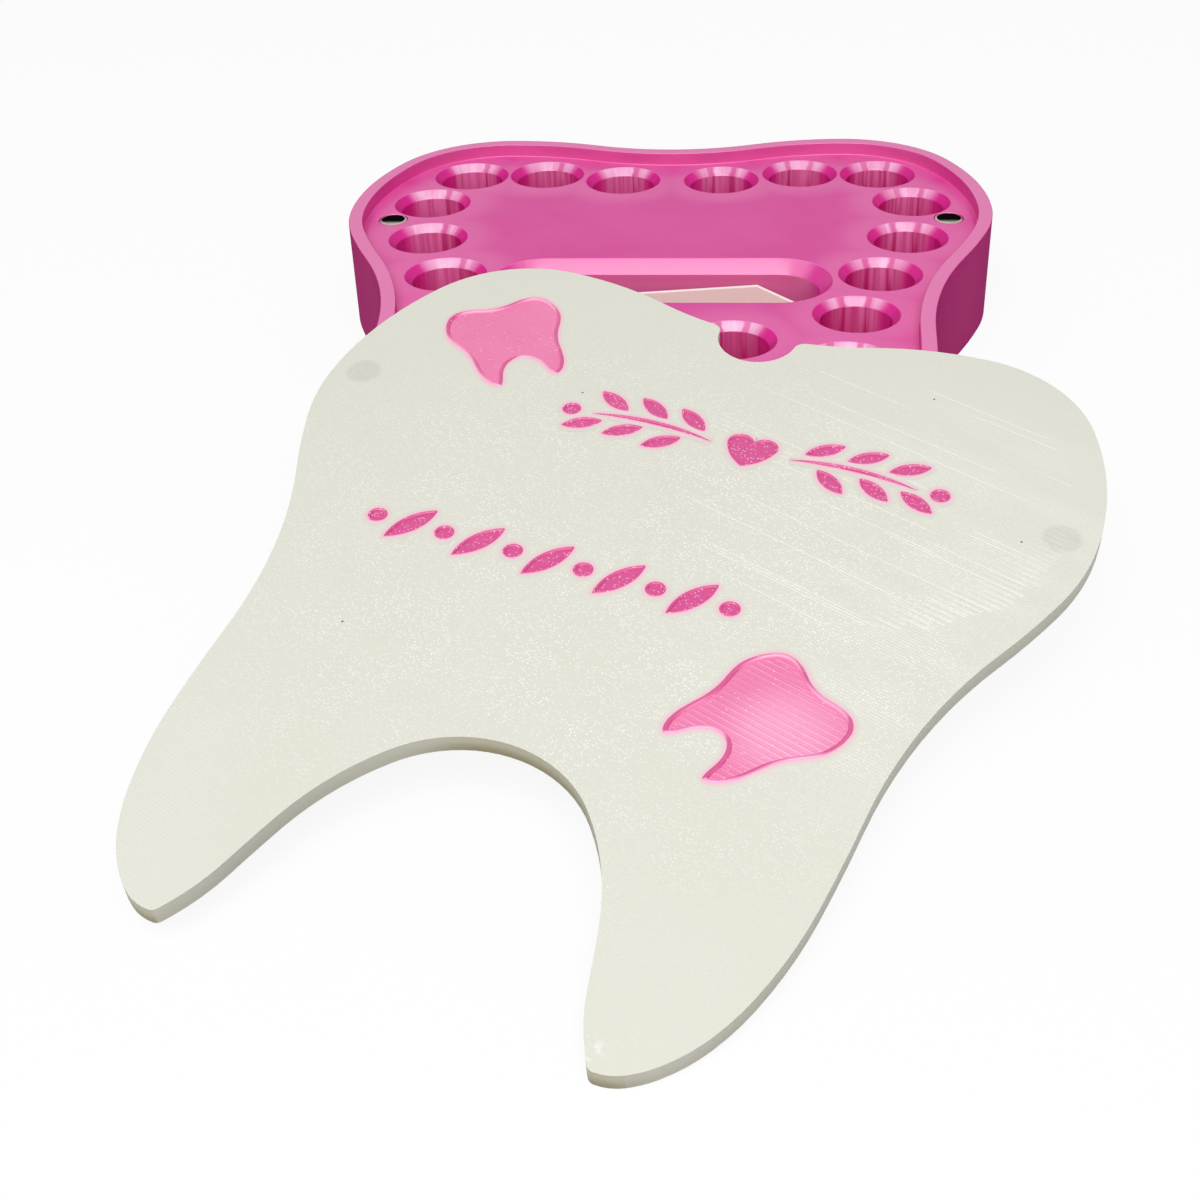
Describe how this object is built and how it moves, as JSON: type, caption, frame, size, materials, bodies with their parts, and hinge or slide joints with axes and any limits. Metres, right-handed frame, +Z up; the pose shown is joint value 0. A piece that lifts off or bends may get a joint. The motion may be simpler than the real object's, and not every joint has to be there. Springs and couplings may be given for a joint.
{
  "type": "milk tooth keepsake box",
  "caption": "Tooth-shaped keepsake tray with a ring of round milk-tooth pockets and a long compartment, and a flush magnetic lid with inlaid tooth figures, leaning open.",
  "frame": {"origin": "centre of the tray's underside, midway between the crown's top and the root tips", "axes": "+Z up out of the tray, +Y towards the tooth's crown, +X to the right seen from the roots"},
  "size_m": [0.1164, 0.2185, 0.028],
  "materials": {
    "tray_plastic": "satin pink print",
    "lid_plastic": "pearly white print with glitter",
    "inlay_plastic": "pink print",
    "nickel": "nickel plate",
    "card": "smooth white"
  },
  "bodies": {
    "tray": {"tray": "tray_plastic", "tray_magnet_left": "nickel", "tray_magnet_right": "nickel", "keepsake_card": "card"},
    "lid": {"lid": "lid_plastic", "lid_magnet_left": "nickel", "lid_magnet_right": "nickel", "tooth_inlay_left": "inlay_plastic", "tooth_inlay_right": "inlay_plastic", "upper_ornament": "inlay_plastic", "lower_ornament": "inlay_plastic"}
  },
  "joints": [
    {"name": "lid_lift", "type": "slide", "parent": "tray", "child": "lid", "axis": [0, 0, 1], "range_m": [0, 0.08]}
  ]
}
